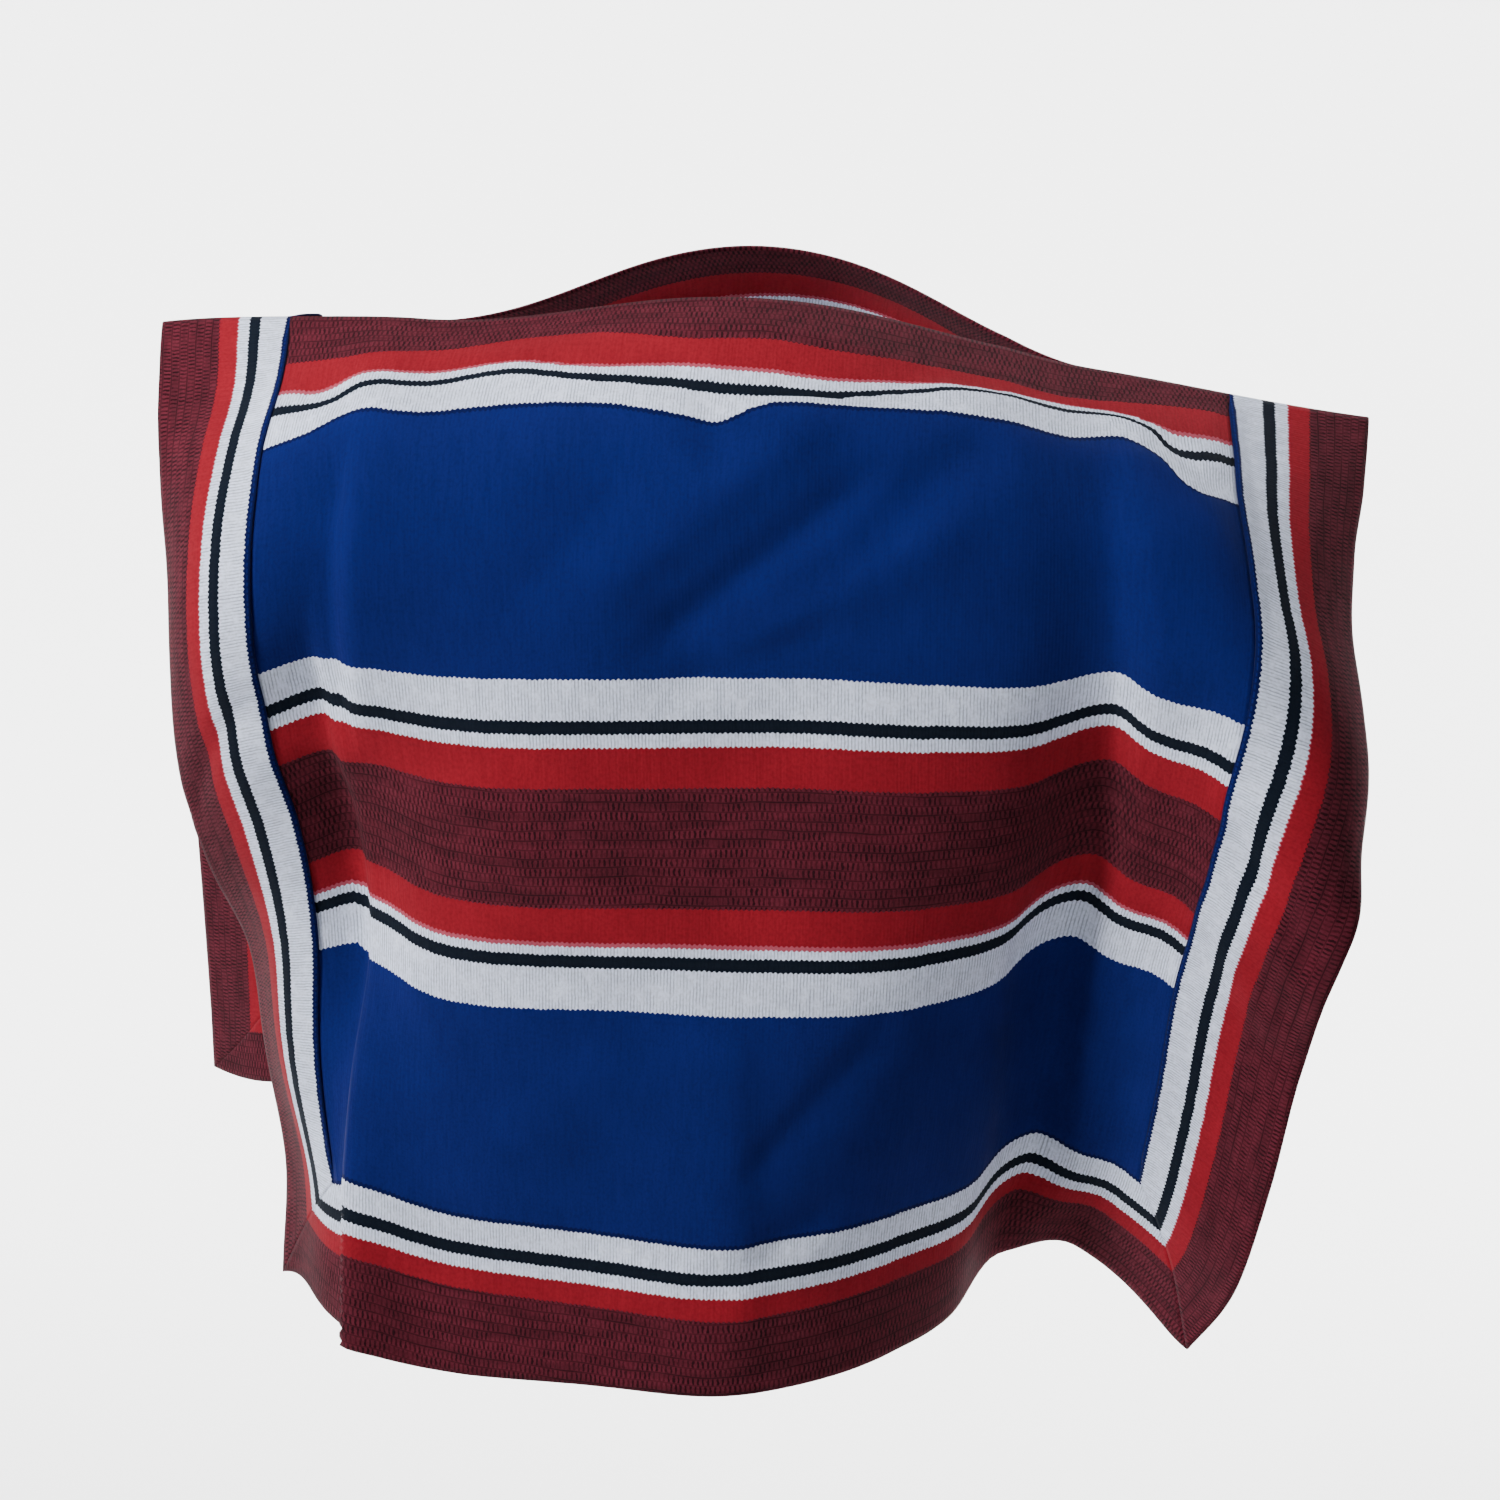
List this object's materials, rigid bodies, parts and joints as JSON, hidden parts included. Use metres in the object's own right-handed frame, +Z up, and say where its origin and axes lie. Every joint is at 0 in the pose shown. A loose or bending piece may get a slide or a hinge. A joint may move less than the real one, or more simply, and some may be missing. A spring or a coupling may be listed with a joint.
{
  "type": "poncho",
  "caption": "Boxy short poncho in worn form, hollow, with a slit neck, open sides, a banded hem and border strips down both sides.",
  "frame": {"origin": "middle of the neck slit, on the straight line between its two ends, where the worn poncho is carried", "axes": "+X across the chest towards the picture's right, +Y from the front panel to the back panel, +Z up"},
  "size_m": [0.6691, 0.3805, 0.613],
  "materials": {
    "front_panel_cloth": "matt woven cotton, banded in blue, burgundy, red, white and black",
    "back_panel_cloth": "matt woven cotton, banded in blue, burgundy, red, white and black",
    "front_border_left_cloth": "matt woven cotton, striped along its length, burgundy outside",
    "front_border_right_cloth": "matt woven cotton, striped along its length, burgundy outside",
    "back_border_left_cloth": "matt woven cotton, striped along its length, burgundy outside",
    "back_border_right_cloth": "matt woven cotton, striped along its length, burgundy outside"
  },
  "bodies": {
    "root": {"front_panel": "front_panel_cloth", "back_panel": "back_panel_cloth", "front_border_left": "front_border_left_cloth", "front_border_right": "front_border_right_cloth", "back_border_left": "back_border_left_cloth", "back_border_right": "back_border_right_cloth"}
  },
  "joints": []
}
